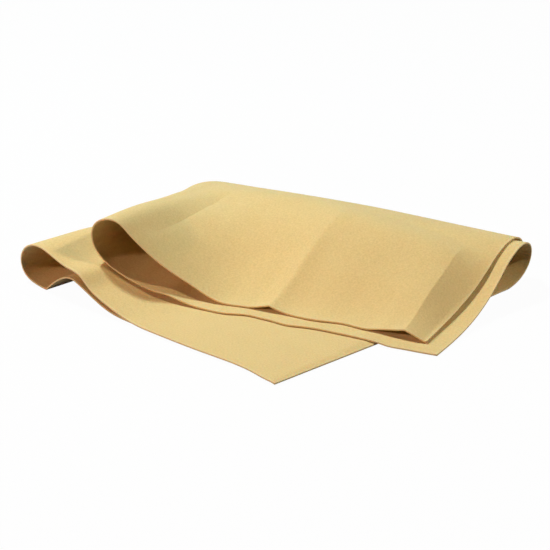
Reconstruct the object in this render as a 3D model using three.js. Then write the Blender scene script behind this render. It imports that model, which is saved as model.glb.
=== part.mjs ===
// A chamois leather for wiping and drying: one rectangular cloth, folded in four and laid down loosely.
// The first fold doubles the cloth at the left and stays open there as a roll. The second fold lays the
// doubled cloth over itself at the back, a little askew, and stays open there as a loop.
// From the top the layers are top_panel, second_panel, third_panel and bottom_panel.
// Millimetres, +Z up. The origin is on the table, under the middle of the folded cloth.

import * as THREE from "three";

const { lerp, clamp, degToRad, smoothstep } = THREE.MathUtils;

// The cloth
const SHEET_LENGTH = 540;
const SHEET_THICKNESS = 1.2;
const COLOUR = 0xdcc07a;

// Clear space between two layers that lie on each other, and between two neighbouring pieces
const LAYER_GAP = 0.3;
const SEAM_GAP = 0.3;
// Extra looseness of the top layer over the second one
const TOP_SLACK = 1.2;

// Plan of the folds: places of the left fold, and directions in degrees from +X
const BACK_FOLD_LEFT = new THREE.Vector2(-29.3, 149.4);
const BACK_FOLD_DIRECTION = -32;
const LOWER_ROLL_FRONT = new THREE.Vector2(-180.9, 20.3);
const LOWER_EDGE_DIRECTION = -45.6;
const UPPER_ROLL_FRONT = new THREE.Vector2(-126.9, -7.7);
const UPPER_EDGE_DIRECTION = -25;

// How much longer than half the cloth each layer runs, at its front edge and at the back fold
const TOP_EXCESS = { front: 2, back: -7 };
const SECOND_EXCESS = { front: -2, back: 3.5 };
const THIRD_EXCESS = { front: -1, back: -7 };
const BOTTOM_EXCESS = { front: -4, back: -15 };
// How far the outer layer's front edge stays behind the inner one's at the free corner
const UPPER_SETBACK = 8;
const LOWER_SETBACK = 7;

// Heights of the middle of the cloth in each flat layer
const PITCH = SHEET_THICKNESS + LAYER_GAP;
const BOTTOM_LEVEL = SHEET_THICKNESS / 2;
const THIRD_LEVEL = BOTTOM_LEVEL + PITCH;
const SECOND_LEVEL = THIRD_LEVEL + PITCH;
const TOP_LEVEL = SECOND_LEVEL + PITCH + TOP_SLACK;

// Sections of the four front edges, from the outside of the roll to the flat run.
// Each point is [distance from the roll's outside, height above the layer's level].
// A list ends at a crease, and the next one starts there.
const LOWER_ROLL_MIDDLE = 15.5;
const THIRD_SECTION = [
  [[0, LOWER_ROLL_MIDDLE - THIRD_LEVEL], [4, 22.4], [17, 28.9], [36, 26.5], [53, 21.9], [66, 20.6]],
  [[66, 20.6], [78.5, 11.5], [97, 5.4], [120, 0.9], [148, 0]],
];
const BOTTOM_SECTION = [
  [[0, LOWER_ROLL_MIDDLE - BOTTOM_LEVEL], [4, 5.9], [14, 1.4], [27.5, 0]],
  [[27.5, 0], [38, 8.4], [54.5, 15.4], [72, 11.6], [92, 4.4], [120, 0]],
];
const UPPER_ROLL_MIDDLE = 41;
const SECOND_SECTION = [
  [[0, UPPER_ROLL_MIDDLE - SECOND_LEVEL], [5, 27.3], [11, 22], [29, 13.1], [39, 8.7]],
  [[39, 8.7], [58, 5.3], [76, 1.4], [92, 0]],
];
const TOP_SECTION = [
  [[0, UPPER_ROLL_MIDDLE - TOP_LEVEL], [2, 44.5], [9.8, 49.8], [20.8, 47.8], [29.6, 40], [35, 35]],
  [[35, 35], [54, 22], [73, 12.3], [92, 4.7], [112, 1], [123, 2], [133, 5]],
  [[133, 5], [140, 2.6], [151, 0.8], [175, 0.8], [205, 0.6], [217, 2.2], [229, 6]],
  [[229, 6], [236, 2.8], [242, 0]],
];

// The back fold. Places are distances towards the back from the inner layer's rearmost line.
const THIRD_SPRING = -27;
const BOTTOM_SPRING = -22;
const SECOND_SPRING = -53;
const TOP_SPRING = -42;
const OUTER_REACH = 11;
const HANDLE_SHARE = 0.47;
// Height and slope in degrees of the upper layers where the fold begins, at the left and right ends
const SECOND_RISE = { left: [30, 6], right: [24.2, 30] };
const TOP_RISE = { left: [40, -8], right: [32.3, 18] };

// The lower roll keeps its height over this share of its length, then flattens towards the back,
// where it still opens by this height at the left and closes over this run
const ROLL_HOLD = 0.25;
const ROLL_BACK_HEIGHT = 8;
const ROLL_BACK_RUN = 70;
// The upper roll's fall from the front, as a share of its mean slope
const ROLL_FALL = 0.45;
// Rise of the upper roll's underside from the front, where it lies on the lower roll
const ROLL_LIFT = 20;
// Rise of the top layer's free end from the front, in millimetres over the depth of the layer
const END_RISE = 13;
const END_RISE_START = 0.85;
// Run over which the upper layers come down to the table past the third layer's free end
const DRAPE_RUN = 26;

// Radius of the turn from the outer to the inner layer at the left end of the back fold
const CORNER_RADIUS = 16;

// Shares of the cloth, from the left fold to a free end, that the rolls and the folded corner take
const ROLL_SHARE = 0.3;
// Places along the sheet's width: upper front edge, upper spring line, lower spring line, lower front edge
const UPPER_EDGE = 0;
const UPPER_SPRING = 1;
const BACK_LINE = 1.5;
const LOWER_SPRING = 2;
const LOWER_EDGE = 3;

// Mesh steps: shares of half the cloth along its length, and counts across its width
const ROLL_STEP = 0.024;
const PANEL_STEP = 0.06;
const PANEL_ROWS = 8;
const FOLD_ROWS = 4;

const direction = (degrees) => new THREE.Vector2(Math.cos(degToRad(degrees)), Math.sin(degToRad(degrees)));
const foldAlong = direction(BACK_FOLD_DIRECTION);
const foldBack = direction(BACK_FOLD_DIRECTION + 90);

const half = SHEET_LENGTH / 2;
const upper = { start: UPPER_ROLL_FRONT, along: direction(UPPER_EDGE_DIRECTION), setback: UPPER_SETBACK };
const lower = { start: LOWER_ROLL_FRONT, along: direction(LOWER_EDGE_DIRECTION), setback: LOWER_SETBACK };
upper.outer = layer(TOP_SECTION, TOP_LEVEL, TOP_EXCESS);
upper.inner = layer(SECOND_SECTION, SECOND_LEVEL, SECOND_EXCESS);
lower.outer = layer(BOTTOM_SECTION, BOTTOM_LEVEL, BOTTOM_EXCESS);
lower.inner = layer(THIRD_SECTION, THIRD_LEVEL, THIRD_EXCESS);

// The front edge of a layer as a path of [distance, height], run out flat to the layer's length,
// with the shares of that length at which the layer is creased.
function layer(section, level, excess) {
  const length = half + excess.front;
  const path = new THREE.CurvePath();
  for (const points of section) {
    path.add(new THREE.SplineCurve(points.map(([x, z]) => new THREE.Vector2(x, level + z))));
  }
  const flat = path.getPoint(1);
  const run = length - path.getLength();
  path.add(new THREE.LineCurve(flat, new THREE.Vector2(flat.x + run, flat.y)));
  path.updateArcLengths();
  const creases = path.getCurveLengths().slice(0, -1).map((at) => at / length);
  return { path, level, creases, backLength: half + excess.back };
}

// In what follows, s is a line across the cloth: 0 is the left fold, 1 the free end of the inner layer
// and -1 the free end of the outer one. v is a place along that line, from UPPER_EDGE to LOWER_EDGE.

// A point of a half's front edge.
function edgePoint(part, s) {
  const { path, level } = s < 0 ? part.outer : part.inner;
  const at = path.getPoint(Math.abs(s));
  const setback = s < 0 ? part.setback * -s : 0;
  return new THREE.Vector3(
    part.start.x + part.along.x * at.x - part.along.y * setback,
    part.start.y + part.along.y * at.x + part.along.x * setback,
    Math.max(at.y, level),
  );
}

// Sizes of the back fold at s, which turn from the outer layer's to the inner layer's at the left end.
function foldStation(part, s) {
  const length = (s < 0 ? part.outer : part.inner).backLength;
  const quarter = (CORNER_RADIUS * Math.PI) / 2;
  const x = length * Math.abs(s);
  const angle = Math.min(x / quarter, 1) * (Math.PI / 2);
  const along = x < quarter ? -CORNER_RADIUS * Math.cos(angle) : x - quarter;
  const share = clamp(along / (length - quarter), 0, 1);
  const inner = (1 + Math.sign(s) * Math.sin(angle)) / 2;
  const mix = (outerValue, innerValue) => lerp(outerValue, innerValue, inner);
  const rise = (i) => mix(lerp(TOP_RISE.left[i], TOP_RISE.right[i], share),
    lerp(SECOND_RISE.left[i], SECOND_RISE.right[i], share));
  return {
    along,
    lowerPlace: mix(BOTTOM_SPRING, THIRD_SPRING),
    lowerHeight: mix(BOTTOM_LEVEL, THIRD_LEVEL + ROLL_BACK_HEIGHT * (1 - smoothstep(along, 0, ROLL_BACK_RUN))),
    upperPlace: mix(TOP_SPRING, SECOND_SPRING),
    upperHeight: rise(0),
    upperSlope: degToRad(rise(1)),
    reach: mix(OUTER_REACH, 0),
  };
}

// A point at a place of the back fold's plan.
function foldPoint(along, place, height) {
  const plan = BACK_FOLD_LEFT.clone().addScaledVector(foldAlong, along).addScaledVector(foldBack, place);
  return new THREE.Vector3(plan.x, plan.y, height);
}

// How far the upper layers come down at a plan point past the third layer's free end.
const cornerThird = edgePoint(lower, 1);
const endThird = (() => {
  const { along, lowerPlace, lowerHeight } = foldStation(lower, 1);
  return foldPoint(along, lowerPlace, lowerHeight);
})();
const endOutward = new THREE.Vector3(endThird.y - cornerThird.y, cornerThird.x - endThird.x, 0).normalize();
const drape = (point) =>
  (SECOND_LEVEL - BOTTOM_LEVEL - LAYER_GAP) *
  smoothstep(endOutward.dot(point.clone().sub(cornerThird)), 0, DRAPE_RUN);

// The straight line of the upper or lower half at s: its front end, its back end, and its run in plan.
function rib(part, s) {
  const station = foldStation(part, s);
  const front = edgePoint(part, s);
  const back = part === upper
    ? foldPoint(station.along, station.upperPlace, station.upperHeight)
    : foldPoint(station.along, station.lowerPlace, station.lowerHeight);
  const run = back.clone().sub(front).setZ(0);
  return { station, front, back, run };
}

// The upper half: flat at the front, it climbs into the back fold.
function upperPoint(s, w) {
  const { station, front, back, run } = rib(upper, s);
  const rise = back.z - front.z;
  const lift = smoothstep(s, 0, ROLL_SHARE / 3) * smoothstep(-s, -ROLL_SHARE, -ROLL_SHARE / 2);
  const frontSlope =
    ROLL_FALL * Math.min(rise, 0) + END_RISE * smoothstep(-s, END_RISE_START, 1) + ROLL_LIFT * lift;
  const backSlope = run.length() * Math.tan(station.upperSlope);
  const point = front.clone().addScaledVector(run, w);
  const climb = w * w * (3 - 2 * w);
  point.z += rise * climb + frontSlope * w * (1 - w) ** 2 - backSlope * w * w * (1 - w);
  point.z -= drape(point) * (1 - climb);
  return point;
}

// The lower half: its roll keeps its height for a while, then flattens towards the back.
function lowerPoint(s, w) {
  const { front, back, run } = rib(lower, s);
  const point = front.clone().addScaledVector(run, w);
  point.z = lerp(front.z, back.z, smoothstep(w, ROLL_HOLD, 1));
  return point;
}

// The back fold: a loop from the upper half's slope round to the lower half's level.
function foldCurve(s) {
  const high = rib(upper, s);
  const low = rib(lower, s);
  const { upperPlace, lowerPlace, upperSlope, reach } = high.station;
  const handles = (reach - (upperPlace + lowerPlace) / 2) * (8 / 3);
  const upperHandle = high.run.clone().setLength(handles * HANDLE_SHARE);
  upperHandle.z = handles * HANDLE_SHARE * Math.tan(upperSlope);
  const lowerHandle = low.run.clone().setLength(handles * (1 - HANDLE_SHARE));
  return new THREE.CubicBezierCurve3(
    high.back,
    high.back.clone().add(upperHandle),
    low.back.clone().add(lowerHandle),
    low.back,
  );
}

// The middle of the cloth.
function sheetPoint(s, v) {
  if (v <= UPPER_SPRING) return upperPoint(s, v - UPPER_EDGE);
  if (v >= LOWER_SPRING) return lowerPoint(s, LOWER_EDGE - v);
  return foldCurve(s).getPoint(v - UPPER_SPRING);
}

// The cloth's direction of thickness.
function sheetNormal(s, v) {
  const step = 1e-3;
  const across = sheetPoint(Math.min(s + step, 1), v).sub(sheetPoint(Math.max(s - step, -1), v));
  const down = sheetPoint(s, Math.min(v + step, LOWER_EDGE)).sub(sheetPoint(s, Math.max(v - step, UPPER_EDGE)));
  return across.cross(down).normalize();
}

// Values from start to end that include the stops between them, no more than a step apart.
function stations(start, end, step, stops) {
  const knots = [start, ...stops.filter((at) => at > start && at < end).sort((a, b) => a - b), end];
  const values = [start];
  for (let i = 1; i < knots.length; i += 1) {
    const count = Math.ceil((knots[i] - knots[i - 1]) / step);
    for (let j = 1; j <= count; j += 1) values.push(lerp(knots[i - 1], knots[i], j / count));
  }
  return values;
}

// A piece of the cloth between two lines s and two places v, as one closed solid.
function clothSolid({ from, to, top, bottom, step, rows, stops = [] }) {
  const trim = SEAM_GAP / 2 / half;
  const start = from === -1 ? from : from + trim;
  const end = to === 1 ? to : to - trim;
  const columns = stations(start, end, step, stops);
  const positions = [];
  const index = [];
  const stride = rows + 1;
  for (const side of [1, -1]) {
    for (const s of columns) {
      const length = sheetPoint(s, top).distanceTo(sheetPoint(s, bottom));
      const inset = ((bottom - top) * SEAM_GAP) / 2 / length;
      const v0 = top === UPPER_EDGE ? top : top + inset;
      const v1 = bottom === LOWER_EDGE ? bottom : bottom - inset;
      for (let row = 0; row <= rows; row += 1) {
        const v = lerp(v0, v1, row / rows);
        const point = sheetPoint(s, v).addScaledVector(sheetNormal(s, v), (side * SHEET_THICKNESS) / 2);
        positions.push(point.x, point.y, point.z);
      }
    }
  }
  const far = columns.length * stride;
  const quad = (a, b, c, d) => index.push(a, b, c, a, c, d);
  const last = columns.length - 1;
  for (let i = 0; i < last; i += 1) {
    for (let row = 0; row < rows; row += 1) {
      const a = i * stride + row;
      quad(a, a + stride, a + stride + 1, a + 1);
      quad(far + a, far + a + 1, far + a + stride + 1, far + a + stride);
    }
    const a = i * stride;
    quad(a, far + a, far + a + stride, a + stride);
    quad(a + rows, a + rows + stride, far + a + rows + stride, far + a + rows);
  }
  for (let row = 0; row < rows; row += 1) {
    const b = last * stride + row;
    quad(row, row + 1, far + row + 1, far + row);
    quad(b, far + b, far + b + 1, b + 1);
  }
  const geometry = new THREE.BufferGeometry();
  geometry.setAttribute("position", new THREE.Float32BufferAttribute(positions, 3));
  geometry.setIndex(index);
  geometry.computeVertexNormals();
  return geometry;
}

const mirrored = (shares) => shares.map((share) => -share);
const upperStops = [...mirrored(upper.outer.creases), ...upper.inner.creases];
const lowerStops = [...mirrored(lower.outer.creases), ...lower.inner.creases];
const outerRun = { from: -1, to: -ROLL_SHARE, step: PANEL_STEP };
const rollRun = { from: -ROLL_SHARE, to: ROLL_SHARE, step: ROLL_STEP };
const innerRun = { from: ROLL_SHARE, to: 1, step: PANEL_STEP };
const upperHalf = { top: UPPER_EDGE, bottom: UPPER_SPRING, rows: PANEL_ROWS, stops: upperStops };
const upperFold = { top: UPPER_SPRING, bottom: BACK_LINE, rows: FOLD_ROWS };
const lowerFold = { top: BACK_LINE, bottom: LOWER_SPRING, rows: FOLD_ROWS };
const lowerHalf = { top: LOWER_SPRING, bottom: LOWER_EDGE, rows: PANEL_ROWS, stops: lowerStops };

const pieces = {
  top_panel: { ...outerRun, ...upperHalf },
  upper_roll: { ...rollRun, ...upperHalf },
  second_panel: { ...innerRun, ...upperHalf },
  outer_fold_upper: { ...outerRun, ...upperFold },
  corner_fold_upper: { ...rollRun, ...upperFold },
  inner_fold_upper: { ...innerRun, ...upperFold },
  outer_fold_lower: { ...outerRun, ...lowerFold },
  corner_fold_lower: { ...rollRun, ...lowerFold },
  inner_fold_lower: { ...innerRun, ...lowerFold },
  third_panel: { ...innerRun, ...lowerHalf },
  lower_roll: { ...rollRun, ...lowerHalf },
  bottom_panel: { ...outerRun, ...lowerHalf },
};

const leather = new THREE.MeshStandardMaterial({ color: COLOUR, roughness: 0.95, metalness: 0 });
const cloth = new THREE.Group();
for (const [name, piece] of Object.entries(pieces)) {
  const mesh = new THREE.Mesh(clothSolid(piece), leather.clone());
  mesh.name = name;
  cloth.add(mesh);
}
const middle = new THREE.Box3().setFromObject(cloth, true).getCenter(new THREE.Vector3());
cloth.position.set(-middle.x, -middle.y, 0);

export default cloth;
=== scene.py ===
"""A chamois leather folded in four: one thin napped sheet with open rolls, soft creases and pale edges."""

import logging
import math
from collections.abc import Sequence
from dataclasses import dataclass, field
from enum import Enum
from functools import cached_property

import bpy
import numpy as np
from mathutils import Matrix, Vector


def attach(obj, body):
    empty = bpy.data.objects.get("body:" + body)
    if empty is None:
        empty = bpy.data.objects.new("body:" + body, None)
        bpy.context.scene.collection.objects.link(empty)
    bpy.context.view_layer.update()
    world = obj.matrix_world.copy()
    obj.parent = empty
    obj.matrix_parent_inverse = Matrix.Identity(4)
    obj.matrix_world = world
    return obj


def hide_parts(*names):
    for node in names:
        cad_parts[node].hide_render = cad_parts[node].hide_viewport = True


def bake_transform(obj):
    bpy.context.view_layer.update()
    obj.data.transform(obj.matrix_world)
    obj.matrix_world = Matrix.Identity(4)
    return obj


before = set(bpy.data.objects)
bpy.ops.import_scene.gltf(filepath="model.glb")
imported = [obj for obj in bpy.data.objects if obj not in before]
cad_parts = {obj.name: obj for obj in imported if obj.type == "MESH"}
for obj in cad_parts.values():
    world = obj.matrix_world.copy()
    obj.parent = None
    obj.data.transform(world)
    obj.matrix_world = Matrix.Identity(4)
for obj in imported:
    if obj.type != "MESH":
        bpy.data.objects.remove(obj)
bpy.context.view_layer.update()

MM = 0.001
CURVE_STEPS = 40
log = logging.getLogger("chamois")

Number = float | np.ndarray
Point = tuple[float, float]
Runs = tuple[tuple[Point, ...], ...]
Color = tuple[float, float, float, float]
Value = float | Sequence[float] | bpy.types.NodeSocket


def smooth(value: np.ndarray, low: float, high: float) -> np.ndarray:
    """Eases from 0 at low to 1 at high.

    Args:
        value: Numbers to ease.
        low: Where the ease starts.
        high: Where it ends.

    Returns:
        The eased numbers.
    """
    t = np.clip((value - low) / (high - low), 0, 1)
    return t * t * (3 - 2 * t)


def mix(start: Number, end: Number, share: Number) -> Number:
    """Returns the value a share of the way from start to end."""
    return start + (end - start) * share


def heading(degrees: float) -> np.ndarray:
    """Returns the plan direction at an angle from +X."""
    return np.array([math.cos(math.radians(degrees)), math.sin(math.radians(degrees))])


def spline(points: Sequence[Point], steps: int = CURVE_STEPS) -> np.ndarray:
    """Runs a natural cubic curve through points.

    Args:
        points: The points in order.
        steps: Samples between two points.

    Returns:
        The samples, one row each.
    """
    p = np.asarray(points, float)
    count = len(p)
    gap = np.linalg.norm(np.diff(p, axis=0), axis=1)
    slope = np.diff(p, axis=0) / gap[:, None]
    system, target = np.eye(count), np.zeros((count, 2))
    for i in range(1, count - 1):
        system[i, i - 1:i + 2] = gap[i - 1], 2 * (gap[i - 1] + gap[i]), gap[i]
        target[i] = 6 * (slope[i] - slope[i - 1])
    bend = np.linalg.solve(system, target)
    t = np.linspace(0, 1, steps, endpoint=False)[:, None]
    rows = [
        p[i] * (1 - t) + p[i + 1] * t
        + gap[i] ** 2 / 6 * (bend[i] * ((1 - t) ** 3 - (1 - t)) + bend[i + 1] * (t**3 - t))
        for i in range(count - 1)
    ]
    return np.vstack([*rows, p[-1:]])


def lengths(curve: np.ndarray) -> np.ndarray:
    """Returns the length along a curve up to each of its samples."""
    return np.concatenate([[0], np.cumsum(np.linalg.norm(np.diff(curve, axis=0), axis=1))])


def stations(start: float, end: float, step: float, stops: Sequence[float]) -> np.ndarray:
    """Spaces values evenly between stops.

    Args:
        start: First value.
        end: Last value.
        step: The widest space.
        stops: Values that have to be among them.

    Returns:
        The values in order.
    """
    knots = [start, *sorted(x for x in stops if start < x < end), end]
    parts = [np.linspace(a, b, math.ceil((b - a) / step) + 1)[:-1] for a, b in zip(knots, knots[1:])]
    return np.append(np.concatenate(parts), end)


class Half(Enum):
    """The two halves of the sheet on either side of the back fold, by the names of their bodies."""

    UPPER = "upper"
    LOWER = "lower"


class Place(float, Enum):
    """Places across the sheet, from the upper front edge round the back fold to the lower front edge."""

    UPPER_EDGE = 0.0
    UPPER_SPRING = 1.0
    LOWER_SPRING = 2.0
    LOWER_EDGE = 3.0


@dataclass(frozen=True)
class Layer:
    """One layer of the folded sheet, from the left roll to its free end, in millimetres.

    The front edge's section is given by points of distance from the roll and height: first round the
    roll, then on in runs that end at creases, and at last flat. No point lies below the level. Setback
    gives points of distance and how far the edge lies behind its pair's front line. Spring is where the
    layer enters the back fold, from the fold's line towards the back.
    """

    roll: tuple[Point, ...]
    runs: Runs
    setback: tuple[Point, ...]
    level: float
    front_length: float
    back_length: float
    spring: float


@dataclass(frozen=True)
class Section:
    """A layer's front edge as rows of share of its length, distance, height and setback, and its creases."""

    table: np.ndarray
    creases: list[float]

    def at(self, share: np.ndarray) -> np.ndarray:
        """Returns rows of distance, height and setback at shares of the length."""
        return np.column_stack([np.interp(share, self.table[:, 0], column) for column in self.table.T[1:]])


@dataclass(frozen=True)
class Pair:
    """Two layers that are joined by a roll at the left: the outer and the inner one."""

    outer: Layer
    inner: Layer
    roll_middle: Point
    roll_front: Point
    edge_direction: float
    flat_steps: int = 60

    @cached_property
    def sections(self) -> tuple[Section, Section]:
        """The front edges of the outer and the inner layer, smooth round the roll that joins them."""
        roll = spline([*reversed(self.outer.roll), self.roll_middle, *self.inner.roll])
        middle = len(self.outer.roll) * CURVE_STEPS
        return self.section(self.outer, roll[middle::-1]), self.section(self.inner, roll[middle:])

    def section(self, layer: Layer, roll: np.ndarray) -> Section:
        """Runs a layer's front edge on from the roll to its free end.

        Args:
            layer: The layer.
            roll: The edge from the middle of the roll to the first crease.

        Returns:
            The whole edge.
        """
        lowest = [-np.inf, layer.level]
        curve = np.maximum(roll, lowest)
        creases = [lengths(curve)[-1]]
        for run in layer.runs:
            curve = np.vstack([curve, np.maximum(spline([tuple(curve[-1]), *run]), lowest)])
            creases.append(lengths(curve)[-1])
        flat = np.linspace(0, layer.front_length - creases[-1], self.flat_steps)
        curve = np.vstack([curve, curve[-1] + np.outer(flat[1:], [1, 0])])
        share = lengths(curve) / layer.front_length
        setback = np.interp(curve[:, 0], *spline(layer.setback).T)
        return Section(np.column_stack([share, curve, setback]), [x / layer.front_length for x in creases])

    def front(self, s: np.ndarray) -> np.ndarray:
        """Finds points of the front edge.

        Args:
            s: Lines across the sheet.

        Returns:
            A point for each line.
        """
        outer, inner = (section.at(np.abs(s)) for section in self.sections)
        x, z, back = np.where((s < 0)[:, None], outer, inner).T
        along = heading(self.edge_direction)
        plan = np.array(self.roll_front) + np.outer(x, along) + np.outer(back, [-along[1], along[0]])
        return np.column_stack([plan, z])

    def spring(self, inner: np.ndarray) -> np.ndarray:
        """Returns where the pair enters the back fold, at shares of the inner layer's sizes."""
        return mix(self.outer.spring, self.inner.spring, inner)


@dataclass(frozen=True)
class Rise:
    """Heights and slopes in degrees of a layer where it enters the back fold: left, middle and right."""

    heights: tuple[float, float, float]
    slopes: tuple[float, float, float]

    def at(self, share: np.ndarray) -> np.ndarray:
        """Returns the height and the slope at shares of the way along the fold."""
        fits = (np.polyfit((0, 0.5, 1), row, 2) for row in (self.heights, self.slopes))
        return np.array([np.polyval(fit, share) for fit in fits])


@dataclass(frozen=True)
class Loop:
    """One of the back fold's two nested loops, with its sizes at the left and the right end of the fold.

    Reach is how far it goes past the fold's line, less a tuck that grows towards the right. Handle is the
    upper end's share in the curve's two handles. Lift is the slope at which it leaves the lower half at
    the right end.
    """

    reach: Point
    handle: Point
    tuck: float = 0.0
    tuck_start: float = 0.0
    lift: float = 0.0

    def at(self, share: np.ndarray) -> np.ndarray:
        """Returns the reach, the handle and the lift at shares of the way along the fold."""
        reach = mix(*self.reach, share) - self.tuck * smooth(share, self.tuck_start, 1)
        return np.array([reach, mix(*self.handle, share), self.lift * share])


@dataclass(frozen=True)
class Drape:
    """How far a layer comes down past the free end of one below it, from a start to an end."""

    drop: float
    start: float
    end: float

    def at(self, past: np.ndarray) -> np.ndarray:
        """Returns the drop at distances past the free end."""
        return self.drop * smooth(past, self.start, self.end)


@dataclass(frozen=True)
class Swell:
    """A weight that eases up from a start until it is full, then down from a fall to an end."""

    start: float
    full: float
    fall: float
    end: float

    def at(self, value: np.ndarray) -> np.ndarray:
        """Returns the weight at values."""
        return smooth(value, self.start, self.full) * (1 - smooth(value, self.fall, self.end))


@dataclass
class FoldedSheet:
    """The surface of the folded sheet, in millimetres.

    A point is found by s and v. s is a line across the sheet: 0 is the left fold, 1 the free end of the
    inner layers and -1 that of the outer ones. v is a Place along that line. w is the share of the way
    from a half's front edge to the back fold.
    """

    length: float = 540.0
    thickness: float = 1.2

    # Back fold, a line in plan with two nested loops that turn into each other at its left end
    back_fold_left: Point = (-29.3, 149.4)
    back_fold_direction: float = -32.0
    corner_radius: float = 16.0
    outer_loop: Loop = Loop(reach=(11.0, 11.0), handle=(0.47, 0.53), tuck=5.6, tuck_start=0.2)
    inner_loop: Loop = Loop(reach=(0.0, -3.8), handle=(0.47, 0.595), lift=0.14)
    second_rise: Rise = Rise(heights=(30.0, 26.4, 21.8), slopes=(6.0, 18.0, 30.0))
    top_rise: Rise = Rise(heights=(37.6, 44.2, 30.0), slopes=(-2.2, -8.0, 21.0))

    # Rolls, the lower one still open at the back fold, the upper one falling towards it
    roll_hold: float = 0.25
    roll_back_height: float = 8.0
    roll_back_run: float = 70.0
    roll_fall: float = 0.58
    roll_lift: float = 27.0
    roll_lift_run: Swell = Swell(start=0.0, full=0.1, fall=0.15, end=0.3)

    # Free end of the top layer, bowed inwards and sagging
    end_start: float = 0.85
    end_bow: float = 9.0
    end_sag: float = 2.4
    end_sag_run: Swell = Swell(start=0.05, full=0.68, fall=0.68, end=1.0)

    # Layers that come down past the free end of a lower one
    third_drape: Drape = Drape(drop=1.5, start=0.0, end=10.0)
    second_drape: Drape = Drape(drop=1.5, start=-3.0, end=15.0)
    corner_drape: Drape = Drape(drop=1.2, start=0.0, end=26.0)
    drape_fade: float = 0.75

    # Creases of the top layer, and the height between them as points of share from crease to crease
    crease_drift: tuple[float, ...] = (0.012, 0.0, -0.025)
    facet_run: Swell = Swell(start=0.02, full=0.45, fall=0.75, end=1.05)
    facets: Runs = (
        ((0, 0), (0.385, 2), (1, -4.5)),
        ((0, -4.5), (0.31, -4), (0.61, -2.4), (1, 4.5)),
        ((0, 4.5), (1, 6.1)),
        ((0, 6.1), (1, 0)),
    )

    upper: Pair = Pair(
        outer=Layer(
            roll=((2.1, 51.8), (9.5, 56.8), (19.9, 56.2), (28.1, 49), (33, 44)),
            runs=(
                ((42, 35.8), (50.4, 29), (68.4, 16.9), (84, 9.3), (94, 6.5), (104, 5.85), (113, 5.85),
                 (121, 7.2), (129, 9.4)),
                ((136.2, 7.4), (145, 6.1), (154, 5.85), (176, 5.85), (196, 5.85), (204, 6.4), (212, 7.9),
                 (220, 9.6), (227.6, 11.2)),
                ((234.8, 8.7), (241, 6.1)),
            ),
            setback=(
                (0, 0), (20, 0.5), (35, 2.4), (50, 5.2), (60, 7.7), (72, 10.2), (84, 9.9), (96, 9.6),
                (110, 11.2), (128, 11.4), (140, 10.8), (157, 9.4), (168, 9.8), (182, 11.6), (192, 10.4),
                (202, 9), (214, 10), (229, 10.6), (240, 11), (260, 10.4),
            ),
            level=5.85, front_length=272.6, back_length=264.4, spring=-42.0,
        ),
        inner=Layer(
            roll=((4.9, 30.8), (10.7, 25.2), (19, 19.9), (27.5, 15.8), (38.4, 12.2)),
            runs=(((47.3, 10.9), (57.2, 9.8), (65.2, 7.4), (75.2, 4.9), (90, 3.9)),),
            setback=(
                (0, 0), (10, 0.2), (20, 0.8), (28, 1), (39, 0.4), (48, -0.7), (58, -0.4), (66, 0.2),
                (78, 0.2), (90, -0.6), (104, -0.6), (113, 2), (120, 2.6), (127, 1.6), (136, 0.4),
                (148, -2), (158, -0.8), (168, 0.2), (180, -0.4), (195, -1.5), (206, -2.2), (214, -2),
                (223, -3.2), (231, -2.2), (243, -2), (256, -1.8),
            ),
            level=3.9, front_length=268.0, back_length=274.5, spring=-53.0,
        ),
        roll_middle=(0, 41), roll_front=(-126.9, -7.7), edge_direction=-25.0,
    )
    lower: Pair = Pair(
        outer=Layer(
            roll=((4.6, 6.8), (14, 2.3), (27.5, 0.6)),
            runs=(
                ((38, 9), (47, 14.3), (54.5, 15.9), (63, 13.6), (72, 9.9), (82, 5.9), (92, 2.8), (105, 1),
                 (120, 0.6)),
            ),
            setback=((0, 0), (260, 7)),
            level=0.6, front_length=266.0, back_length=255.0, spring=-22.0,
        ),
        inner=Layer(
            roll=(
                (4.6, 24.2), (17, 30.8), (36, 28.4), (53, 24.2), (61, 23.4), (67, 21.8), (72.5, 18.1),
                (78.5, 14.2), (87, 10.8), (97, 7.8), (120, 3), (148, 2.1),
            ),
            runs=(),
            setback=((0, 0), (155, 0), (188, 1.3), (218, 3.1), (234, 2.3), (249, 0.3), (260, 0)),
            level=2.1, front_length=269.0, back_length=267.5, spring=-27.0,
        ),
        roll_middle=(1, 15.5), roll_front=(-180.9, 20.3), edge_direction=-45.6,
    )

    @property
    def top_creases(self) -> np.ndarray:
        """The top layer's creases at its front edge, as shares of the edge."""
        return np.array(self.upper.sections[0].creases[:len(self.crease_drift)])

    def turn(self, pair: Pair, s: np.ndarray) -> tuple[np.ndarray, np.ndarray, np.ndarray]:
        """Finds where lines meet the back fold.

        Args:
            pair: The layers above or below the fold.
            s: Lines across the sheet.

        Returns:
            The run along the fold, its share of the whole run, and the share of the inner layer's sizes.
        """
        length = np.where(s < 0, pair.outer.back_length, pair.inner.back_length)
        quarter = self.corner_radius * math.pi / 2
        x = length * np.abs(s)
        angle = np.minimum(x / quarter, 1) * math.pi / 2
        along = np.where(x < quarter, -self.corner_radius * np.cos(angle), x - quarter)
        share = np.clip(along / (length - quarter), 0, 1)
        return along, share, (1 + np.sign(s) * np.sin(angle)) / 2

    def fold_point(self, along: np.ndarray, place: np.ndarray, height: np.ndarray) -> np.ndarray:
        """Finds points near the back fold.

        Args:
            along: Runs along the fold.
            place: Distances from the fold's line towards the back.
            height: Heights over the table.

        Returns:
            A point for each run.
        """
        d = heading(self.back_fold_direction)
        plan = np.array(self.back_fold_left) + np.outer(along, d) + np.outer(place, [-d[1], d[0]])
        return np.column_stack([plan, height])

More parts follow.
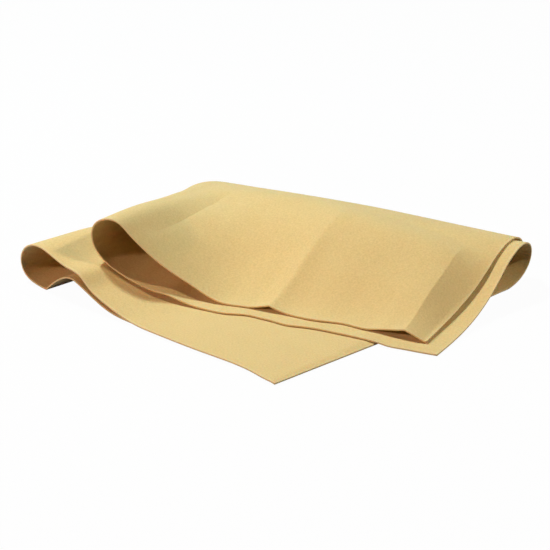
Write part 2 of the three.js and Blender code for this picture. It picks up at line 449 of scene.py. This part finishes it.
    def upper_spring(self, s: np.ndarray) -> tuple[np.ndarray, np.ndarray]:
        """Finds where the upper half enters the fold.

        Args:
            s: Lines across the sheet.

        Returns:
            A point and a slope for each line.
        """
        along, share, inner = self.turn(self.upper, s)
        height, slope = mix(self.top_rise.at(share), self.second_rise.at(share), inner)
        return self.fold_point(along, self.upper.spring(inner), height), np.tan(np.radians(slope))

    def lower_spring(self, s: np.ndarray) -> np.ndarray:
        """Finds where the lower half enters the fold.

        Args:
            s: Lines across the sheet.

        Returns:
            A point for each line.
        """
        along, _, inner = self.turn(self.lower, s)
        opened = self.roll_back_height * (1 - smooth(along, 0, self.roll_back_run))
        height = mix(self.lower.outer.level, self.lower.inner.level + opened, inner)
        return self.fold_point(along, self.lower.spring(inner), height)

    def past_end(self, points: np.ndarray, s: float) -> np.ndarray:
        """Measures how far points lie beyond the free end of a layer of the lower half.

        Args:
            points: The points.
            s: The line of the free end: -1 for the outer layer, 1 for the inner one.

        Returns:
            The distances in plan, below 0 on the layer's side.
        """
        line = np.array([s])
        corner, end = self.lower.front(line)[0, :2], self.lower_spring(line)[0, :2]
        outward = np.array([end[1] - corner[1], corner[0] - end[0]])
        return (points[..., :2] - corner) @ (outward / np.linalg.norm(outward))

    def crease_lines(self, s: np.ndarray, w: np.ndarray) -> np.ndarray:
        """Finds the line of the front edge whose height each point of the upper half takes.

        The top layer's creases aren't square to its front edge, so they drift towards the back.

        Args:
            s: Lines across the sheet.
            w: Shares of the way from the front edge to the fold.

        Returns:
            The grid of lines.
        """
        creases = self.top_creases
        grid = np.repeat(s[:, None], len(w), axis=1)
        outer = s < 0
        for column, share in enumerate(w):
            moved = creases + np.array(self.crease_drift) * share
            grid[outer, column] = -np.interp(-s[outer], [0, *moved, 1], [0, *creases, 1])
        return grid

    def relief(self, lines: np.ndarray, w: np.ndarray) -> np.ndarray:
        """Finds the relief that the creases leave on the top layer behind its front edge.

        Args:
            lines: The grid of lines of the front edge.
            w: Shares of the way from the front edge to the fold.

        Returns:
            The grid of heights.
        """
        length = self.upper.outer.front_length
        creases = [0, *self.top_creases, 1]
        runs = [
            spline([(length * mix(start, end, share), height) for share, height in facet])
            for facet, start, end in zip(self.facets, creases, creases[1:])
        ]
        return np.interp(-lines * length, *np.vstack(runs).T, left=0.0) * self.facet_run.at(w)

    def upper_half(self, s: np.ndarray, w: np.ndarray) -> np.ndarray:
        """Finds points of the upper half.

        Args:
            s: Lines across the sheet.
            w: Shares of the way from the front edge to the fold.

        Returns:
            The grid of points.
        """
        front = self.upper.front(s)[:, None, :]
        back, slope = self.upper_spring(s)
        run = back[:, None, :] - front
        points = front + run * w[None, :, None]

        # Weights of a cubic curve's slopes at its two ends and of its climb between them
        leaving, arriving, climb = w * (1 - w) ** 2, w * w * (1 - w), smooth(w, 0, 1)
        end = smooth(-s, self.end_start, 1)[:, None]
        points[..., :2] -= (self.end_bow * end * leaving)[..., None] * heading(self.upper.edge_direction)

        # Each line climbs from its height at the front edge, along the creases, to the fold's slope
        lines = self.crease_lines(s, w)
        start = self.upper.front(lines.ravel())[:, 2].reshape(lines.shape)
        rise = run[..., 2] + front[..., 2] - start
        leave = self.roll_fall * np.minimum(rise, 0) + self.roll_lift * self.roll_lift_run.at(s)[:, None]
        arrive = np.linalg.norm(run[..., :2], axis=2) * slope[:, None]
        z = start + rise * climb + leave * leaving - arrive * arriving

        outer_end, inner_end = (self.past_end(points, line) for line in (-1.0, 1.0))
        drape = (self.second_drape.at(outer_end) + self.corner_drape.at(inner_end)) * (1 - climb)
        sag = self.end_sag * end * self.end_sag_run.at(w)
        points[..., 2] = z - drape - sag + self.relief(lines, w)
        return points

    def lower_half(self, s: np.ndarray, w: np.ndarray) -> np.ndarray:
        """Finds points of the lower half.

        Args:
            s: Lines across the sheet.
            w: Shares of the way from the front edge to the fold.

        Returns:
            The grid of points.
        """
        front = self.lower.front(s)[:, None, :]
        run = self.lower_spring(s)[:, None, :] - front
        points = front + run * w[None, :, None]
        drape = self.third_drape.at(self.past_end(points, -1.0)) * (1 - smooth(w, self.drape_fade, 1))
        points[..., 2] = front[..., 2] + run[..., 2] * smooth(w, self.roll_hold, 1) - drape
        return points

    def back_fold(self, s: np.ndarray, t: np.ndarray) -> np.ndarray:
        """Finds points of the fold's loops, which are cubic Bezier curves.

        Args:
            s: Lines across the sheet.
            t: Shares of the way from the upper half to the lower half.

        Returns:
            The grid of points.
        """
        high, slope = self.upper_spring(s)
        high[:, 2] += self.relief(self.crease_lines(s, np.ones(1)), np.ones(1))[:, 0]
        low = self.lower_spring(s)
        _, share, inner = self.turn(self.upper, s)
        reach, handle, lift = mix(self.outer_loop.at(share), self.inner_loop.at(share), inner)

        # Halfway, such a curve lies 3/8 of the sum of its handles past the mean of its ends
        handles = (reach - (self.upper.spring(inner) + self.lower.spring(inner)) / 2) * 8 / 3
        upper_handle, lower_handle = handles * handle, handles * (1 - handle)
        leave = self.towards(self.upper.front(s), high) * upper_handle[:, None]
        leave[:, 2] = upper_handle * slope
        arrive = self.towards(self.lower.front(s), low) * lower_handle[:, None]
        arrive[:, 2] = lower_handle * lift
        weights = ((1 - t) ** 3, 3 * t * (1 - t) ** 2, 3 * t * t * (1 - t), t**3)
        controls = (high, high + leave, low + arrive, low)
        return sum(point[:, None, :] * weight[None, :, None] for point, weight in zip(controls, weights))

    @staticmethod
    def towards(start: np.ndarray, end: np.ndarray) -> np.ndarray:
        """Returns level unit vectors from start to end."""
        run = (end - start) * [1, 1, 0]
        return run / np.linalg.norm(run, axis=1)[:, None]

    def points(self, s: np.ndarray, v: np.ndarray) -> np.ndarray:
        """Finds points of the whole sheet.

        Args:
            s: Lines across the sheet.
            v: Places along the lines.

        Returns:
            The grid of points.
        """
        grid = np.empty((len(s), len(v), 3))
        above, below = v <= Place.UPPER_SPRING, v >= Place.LOWER_SPRING
        loop = ~above & ~below
        grid[:, above] = self.upper_half(s, v[above] - Place.UPPER_EDGE)
        grid[:, loop] = self.back_fold(s, v[loop] - Place.UPPER_SPRING)
        grid[:, below] = self.lower_half(s, Place.LOWER_EDGE - v[below])
        return grid

    def normals(self, s: np.ndarray, v: np.ndarray) -> np.ndarray:
        """Finds the directions square to the sheet.

        Args:
            s: Lines across the sheet.
            v: Places along the lines.

        Returns:
            The grid of unit vectors.
        """
        step = 1e-3
        along = self.points(np.minimum(s + step, 1), v) - self.points(np.maximum(s - step, -1), v)
        low, high = Place.UPPER_EDGE, Place.LOWER_EDGE
        across = self.points(s, np.minimum(v + step, high)) - self.points(s, np.maximum(v - step, low))
        normal = np.cross(along, across)
        return normal / np.linalg.norm(normal, axis=2)[..., None]


@dataclass
class Shell:
    """A closed shell round a grid of the sheet's points: a front, a back and a rounded rim between them."""

    middle: np.ndarray
    normal: np.ndarray
    thickness: float
    bulge: float

    @cached_property
    def index(self) -> np.ndarray:
        """The grid of the points' numbers."""
        rows, columns = self.middle.shape[:2]
        return np.arange(rows * columns).reshape(rows, columns)

    @cached_property
    def ring(self) -> tuple[np.ndarray, np.ndarray]:
        """The rows and the columns of the points round the border, in order."""
        last_row, last_column = (count - 1 for count in self.index.shape)
        places = (
            [(i, 0) for i in range(last_row)]
            + [(last_row, j) for j in range(last_column)]
            + [(i, last_column) for i in range(last_row, 0, -1)]
            + [(0, j) for j in range(last_column, 0, -1)]
        )
        rows, columns = np.array(places).T
        return rows, columns

    @cached_property
    def outward(self) -> np.ndarray:
        """Unit vectors in the sheet's surface that point out of it, one for each point of the border."""
        inner = tuple(np.clip(places, 1, count - 2) for places, count in zip(self.ring, self.index.shape))
        way = self.middle[self.ring] - self.middle[inner]
        return way / np.linalg.norm(way, axis=1)[:, None]

    @cached_property
    def border(self) -> tuple[np.ndarray, np.ndarray, np.ndarray]:
        """The numbers of the border's points on the front, in the middle of the rim and on the back."""
        front = self.index[self.ring]
        return front, np.arange(len(front)) + 2 * self.index.size, front + self.index.size

    @cached_property
    def front_faces(self) -> np.ndarray:
        """The faces of the front, as rows of four numbers of points."""
        index = self.index
        corners = [index[:-1, :-1], index[1:, :-1], index[1:, 1:], index[:-1, 1:]]
        return np.stack(corners, axis=-1).reshape(-1, 4)

    @staticmethod
    def band(first: np.ndarray, second: np.ndarray) -> np.ndarray:
        """Returns the corners of the faces between two closed lines that run round the border."""
        return np.stack([first, second, np.roll(second, -1, axis=0), np.roll(first, -1, axis=0)], axis=1)

    def vertices(self) -> np.ndarray:
        """Returns the points of the front, of the back and of the middle of the rim."""
        offset = self.normal * self.thickness / 2
        front, back = self.middle + offset, self.middle - offset
        rim = self.middle[self.ring] + self.outward * self.bulge
        return np.concatenate([front.reshape(-1, 3), back.reshape(-1, 3), rim])

    def faces(self) -> np.ndarray:
        """Returns all faces, as rows of four numbers of points."""
        front, rim, back = self.border
        back_faces = self.front_faces[:, ::-1] + self.index.size
        return np.concatenate([self.front_faces, back_faces, self.band(front, rim), self.band(rim, back)])

    def corner_normals(self) -> np.ndarray:
        """Finds the normals that the shell is shaded by, which turn smoothly round the rim.

        Returns:
            A unit vector for each corner of each face.
        """
        normal = self.normal.reshape(-1, 3)
        edge, outward = self.normal[self.ring], self.outward
        parts = (
            normal[self.front_faces],
            -normal[self.front_faces[:, ::-1]],
            self.band(edge + outward, outward),
            self.band(outward, outward - edge),
        )
        corners = np.concatenate([part.reshape(-1, 3) for part in parts])
        return corners / np.linalg.norm(corners, axis=1)[:, None]

    def rim_weights(self, cut: np.ndarray, edge_weight: float) -> np.ndarray:
        """Marks the points that lie on a cut edge.

        Args:
            cut: For each point of the border, whether the sheet is cut there.
            edge_weight: The weight on the front and the back, beside the middle of the rim.

        Returns:
            A weight from 0 to 1 for each point.
        """
        front, rim, back = self.border
        weights = np.zeros(2 * self.index.size + len(rim), np.float32)
        weights[rim] = cut
        weights[front] = weights[back] = cut * edge_weight
        return weights


@dataclass(frozen=True)
class Graph:
    """Adds nodes to a node tree."""

    tree: bpy.types.NodeTree

    def feed(self, socket: bpy.types.NodeSocket, value: Value) -> None:
        """Links a socket to another node's output, or sets its value.

        Args:
            socket: The socket.
            value: The output or the value.
        """
        if isinstance(value, bpy.types.NodeSocket):
            self.tree.links.new(value, socket)
        else:
            socket.default_value = value

    def add(self, kind: str, inputs: dict[str | int, Value], **settings: object) -> bpy.types.Node:
        """Adds a node.

        Args:
            kind: The node's type.
            inputs: Values or outputs of other nodes for its inputs, by name or number.
            settings: The node's own settings.

        Returns:
            The node.
        """
        node = self.tree.nodes.new(kind)
        for name, setting in settings.items():
            setattr(node, name, setting)
        for key, value in inputs.items():
            self.feed(node.inputs[key], value)
        return node

    def math(self, operation: str, *values: Value) -> bpy.types.NodeSocket:
        """Returns the result of an operation on values."""
        return self.add("ShaderNodeMath", dict(enumerate(values)), operation=operation).outputs[0]

    def mix_colors(self, share: Value, first: Value, second: Value) -> bpy.types.NodeSocket:
        """Mixes two colours.

        Args:
            share: The share of the second colour.
            first: The first colour.
            second: The second colour.

        Returns:
            The mixed colour.
        """
        node = self.add("ShaderNodeMix", {"Factor": share}, data_type="RGBA")
        colors = [socket for socket in node.inputs if socket.type == "RGBA"]
        for socket, value in zip(colors, (first, second)):
            self.feed(socket, value)
        return next(socket for socket in node.outputs if socket.type == "RGBA")


@dataclass(frozen=True)
class Speckle:
    """A noise on the sheet: how fine and how detailed it is, and how much it moves the colour and the nap."""

    scale: float
    detail: float
    color_weight: float
    nap_weight: float


@dataclass(frozen=True)
class SuedeFinish:
    """Tan chamois: a matt nap with fine grain and faint clouding, paler where it is cut.

    Glow is the light that passes through the leather. Lengths are in metres.
    """

    name: str = "chamois_suede"
    dark: Color = (0.59, 0.425, 0.165, 1)
    light: Color = (0.85, 0.65, 0.29, 1)
    cut: Color = (0.78, 0.64, 0.34, 1)
    roughness: float = 0.95
    specular: float = 0.15
    sheen: float = 0.15
    sheen_roughness: float = 0.5
    glow: float = 0.3
    glow_radius: tuple[float, float, float] = (1.0, 0.32, 0.14)
    glow_scale: float = 0.0014
    nap_depth: float = 0.00025
    nap_strength: float = 0.5
    clouds: Speckle = Speckle(scale=45.0, detail=2.0, color_weight=0.18, nap_weight=0.0)
    grain: Speckle = Speckle(scale=750.0, detail=2.0, color_weight=0.9, nap_weight=1.0)
    fibres: Speckle = Speckle(scale=2200.0, detail=3.0, color_weight=0.5, nap_weight=1.0)
    rim_attribute: str = "rim"

    def material(self) -> bpy.types.Material:
        """Makes the finish.

        Returns:
            The node material.
        """
        made = bpy.data.materials.new(self.name)
        made.use_nodes = True
        graph = Graph(made.node_tree)
        place = graph.add("ShaderNodeTexCoord", {}).outputs["Object"]
        speckles = (self.clouds, self.grain, self.fibres)
        share = 0.5 - sum(speckle.color_weight for speckle in speckles) / 2
        height = 0.0
        for speckle in speckles:
            inputs = {"Vector": place, "Scale": speckle.scale, "Detail": speckle.detail}
            noise = graph.add("ShaderNodeTexNoise", inputs).outputs["Fac"]
            share = graph.math("MULTIPLY_ADD", noise, speckle.color_weight, share)
            height = graph.math("MULTIPLY_ADD", noise, speckle.nap_weight, height)
        rim = graph.add("ShaderNodeAttribute", {}, attribute_name=self.rim_attribute).outputs["Fac"]
        nap = {"Strength": self.nap_strength, "Distance": self.nap_depth, "Height": height}
        inputs = {
            "Base Color": graph.mix_colors(rim, graph.mix_colors(share, self.dark, self.light), self.cut),
            "Normal": graph.add("ShaderNodeBump", nap).outputs["Normal"],
            "Roughness": self.roughness,
            "Specular IOR Level": self.specular,
            "Sheen Weight": self.sheen,
            "Sheen Roughness": self.sheen_roughness,
            "Subsurface Weight": self.glow,
            "Subsurface Radius": self.glow_radius,
            "Subsurface Scale": self.glow_scale,
        }
        shader = made.node_tree.nodes["Principled BSDF"]
        for name, value in inputs.items():
            graph.feed(shader.inputs[name], value)
        return made


@dataclass(frozen=True)
class Strip:
    """A strip of the sheet that becomes one piece: its name, its places and the CAD nodes it stands for.

    The row step is the widest space between the mesh's places, and the cut width the strip's real width
    in metres when it lies flat.
    """

    name: str
    start: Place
    end: Place
    row_step: float
    cut_width: float
    nodes: tuple[str, ...]


@dataclass
class Chamois:
    """The dressed sheet: a strip for each half and one for the back fold.

    The back fold's strip stays where it is, tied to neither body. blend_low and blend_high are two
    heights; those and the rim's bulge are in millimetres.
    """

    sheet: FoldedSheet = field(default_factory=FoldedSheet)
    finish: SuedeFinish = SuedeFinish()
    column_step: float = 0.0075
    drift_steps: int = 11
    rim_bulge: float = 0.15
    rim_edge_weight: float = 0.5
    blend_low: float = 10.9
    blend_high: float = 22.3
    strips: tuple[Strip, ...] = (
        Strip(
            "lower_cloth", Place.LOWER_SPRING, Place.LOWER_EDGE, row_step=0.0105, cut_width=0.20,
            nodes=("third_panel", "lower_roll", "bottom_panel"),
        ),
        Strip(
            "upper_cloth", Place.UPPER_EDGE, Place.UPPER_SPRING, row_step=0.014, cut_width=0.13,
            nodes=("top_panel", "upper_roll", "second_panel"),
        ),
        Strip(
            "back_fold_cloth", Place.UPPER_SPRING, Place.LOWER_SPRING, row_step=0.022, cut_width=0.10,
            nodes=("outer_fold_upper", "outer_fold_lower", "corner_fold_upper", "corner_fold_lower",
                   "inner_fold_upper", "inner_fold_lower"),
        ),
    )

    def columns(self) -> np.ndarray:
        """Spaces the lines of the mesh, with the creases among them and closer together where these drift.

        Returns:
            The lines s.
        """
        sections = (*self.sheet.upper.sections, *self.sheet.lower.sections)
        stops = [way * share for way, section in zip((-1, 1, -1, 1), sections) for share in section.creases]
        for crease, drift in zip(self.sheet.top_creases, self.sheet.crease_drift):
            stops += list(-np.linspace(crease, crease + drift, self.drift_steps))
        return stations(-1.0, 1.0, self.column_step, [0.0, *stops])

    def strip_mesh(self, strip: Strip) -> bpy.types.Mesh:
        """Makes a strip as one closed shell with the sheet's thickness and rounded cut edges.

        Args:
            strip: The strip to make.

        Returns:
            Its mesh, in metres.
        """
        s = self.columns()
        v = stations(strip.start.value, strip.end.value, strip.row_step, [])
        shell = Shell(self.sheet.points(s, v), self.sheet.normals(s, v), self.sheet.thickness, self.rim_bulge)
        mesh = bpy.data.meshes.new(strip.name)
        mesh.from_pydata((shell.vertices() * MM).tolist(), [], shell.faces().tolist())
        mesh.shade_smooth()
        mesh.normals_split_custom_set(shell.corner_normals().tolist())
        line, place = shell.ring
        cut = (np.abs(s[line]) == 1) | np.isin(v[place], [Place.UPPER_EDGE.value, Place.LOWER_EDGE.value])
        rim = mesh.attributes.new(self.finish.rim_attribute, "FLOAT", "POINT")
        rim.data.foreach_set("value", shell.rim_weights(cut, self.rim_edge_weight))
        return mesh

    def dress(self, strip: Strip, mesh: bpy.types.Mesh, material: bpy.types.Material) -> bpy.types.Object:
        """Makes the piece that shows a strip in the place of its CAD nodes.

        Args:
            strip: The strip.
            mesh: Its mesh.
            material: Its finish.

        Returns:
            The piece.
        """
        mesh.materials.append(material)
        piece = bpy.data.objects.new(strip.name, mesh)
        bpy.context.scene.collection.objects.link(piece)
        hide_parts(*strip.nodes)
        log.info("%s: %d faces", strip.name, len(mesh.polygons))
        return piece

    def build(self) -> list[bpy.types.Object]:
        """Makes the strips, dresses them and ties them to the bodies.

        Returns:
            The pieces.
        """
        material = self.finish.material()
        pieces = [self.dress(strip, self.strip_mesh(strip), material) for strip in self.strips]
        self.tie(*pieces)
        return pieces

    def tie(self, lower: bpy.types.Object, upper: bpy.types.Object, fold: bpy.types.Object) -> None:
        """Args:
            lower: The strip of the lower half.
            upper: The strip of the upper half.
            fold: The strip of the back fold.
        """
        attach(lower, Half.LOWER.value)
        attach(upper, Half.UPPER.value)
        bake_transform(fold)


@dataclass(frozen=True)
class Lamp:
    """A soft square lamp, placed by the direction it shines from, in degrees, metres and watts."""

    name: str
    azimuth: float
    elevation: float
    size: float
    power: float
    color: tuple[float, float, float]
    distance: float = 1.6

    def build(self, target: Vector) -> None:
        """Makes the lamp.

        Args:
            target: The point it is aimed at.
        """
        data = bpy.data.lights.new(self.name, "AREA")
        data.color = self.color
        data.size = self.size
        data.energy = self.power
        lamp = bpy.data.objects.new(self.name, data)
        a, e = math.radians(self.azimuth), math.radians(self.elevation)
        way = Vector((math.cos(a) * math.cos(e), math.sin(a) * math.cos(e), math.sin(e)))
        lamp.location = target + way * self.distance
        lamp.rotation_euler = (-way).to_track_quat("-Z", "Y").to_euler()
        bpy.context.scene.collection.objects.link(lamp)


@dataclass
class Studio:
    """A white table, soft lamps and the camera."""

    target: Vector = field(default_factory=lambda: Vector((-0.88, 30.32, 0)) * MM)
    camera_distance: float = 1.428
    camera_elevation: float = 21.0
    lens: float = 130.9
    sensor_width: float = 36.0
    floor_size: float = 12.0
    floor_color: Color = (0.38, 0.38, 0.38, 1)
    floor_glow: float = 1.03
    glow_share: float = 0.94
    lamps: tuple[Lamp, ...] = (
        Lamp("key_lamp", azimuth=140.0, elevation=61.0, size=0.14, power=22.4, color=(0.77, 0.95, 1.0)),
        Lamp("left_lamp", azimuth=208.0, elevation=24.0, size=0.1, power=12.7, color=(1.0, 0.62, 0.5)),
        Lamp("right_lamp", azimuth=340.0, elevation=41.0, size=0.1, power=9.8, color=(1.0, 0.84, 0.7)),
    )

    def camera(self) -> None:
        """Makes the camera at the photograph's view."""
        data = bpy.data.cameras.new("camera")
        data.lens = self.lens
        data.sensor_width = self.sensor_width
        camera = bpy.data.objects.new("camera", data)
        e = math.radians(self.camera_elevation)
        back = Vector((0, -math.cos(e), math.sin(e)))
        camera.location = self.target + back * self.camera_distance
        camera.rotation_euler = (-back).to_track_quat("-Z", "Y").to_euler()
        bpy.context.scene.collection.objects.link(camera)
        bpy.context.scene.camera = camera

    def seen(self, graph: Graph) -> bpy.types.NodeSocket:
        """Tells rays that show a surface from rays that light one.

        Args:
            graph: The node tree that asks.

        Returns:
            1 for rays from the camera, a mirror or glass, and 0 for the others.
        """
        path = graph.add("ShaderNodeLightPath", {}).outputs
        mirror = graph.math("MAXIMUM", path["Is Glossy Ray"], path["Is Transmission Ray"])
        return graph.math("MAXIMUM", path["Is Camera Ray"], mirror)

    def world(self) -> None:
        """Shows white all round, without lighting the sheet."""
        world = bpy.data.worlds.new("studio")
        world.use_nodes = True
        background = world.node_tree.nodes["Background"]
        background.inputs["Color"].default_value = (1, 1, 1, 1)
        graph = Graph(world.node_tree)
        graph.feed(background.inputs["Strength"], self.seen(graph))
        bpy.context.scene.world = world

    def floor(self) -> None:
        """Makes the white table, which keeps a faint shadow."""
        half = self.floor_size / 2
        corners = [(-half, -half, 0), (half, -half, 0), (half, half, 0), (-half, half, 0)]
        mesh = bpy.data.meshes.new("table")
        mesh.from_pydata(corners, [], [(0, 1, 2, 3)])
        material = bpy.data.materials.new("white_table")
        material.use_nodes = True
        nodes = material.node_tree.nodes
        nodes.remove(nodes["Principled BSDF"])
        graph = Graph(material.node_tree)
        matt = graph.add("ShaderNodeBsdfDiffuse", {"Color": self.floor_color})
        glow = graph.add("ShaderNodeEmission", {"Strength": self.floor_glow})
        share = graph.math("MULTIPLY", self.seen(graph), self.glow_share)
        both = graph.add("ShaderNodeMixShader", {0: share, 1: matt.outputs[0], 2: glow.outputs[0]})
        graph.feed(nodes["Material Output"].inputs["Surface"], both.outputs[0])
        mesh.materials.append(material)
        table = bpy.data.objects.new("table", mesh)
        bpy.context.scene.collection.objects.link(table)

    def build(self) -> None:
        """Makes the camera, the table, the world and the lamps."""
        self.camera()
        self.floor()
        self.world()
        for lamp in self.lamps:
            lamp.build(self.target)
        bpy.context.scene.view_settings.view_transform = "Standard"


def main() -> None:
    """Builds the studio and the chamois."""
    logging.basicConfig(level=logging.INFO, format="%(name)s: %(message)s")
    Studio().build()
    pieces = Chamois().build()
    log.info("%d pieces", len(pieces))


if __name__ == "__main__":
    main()
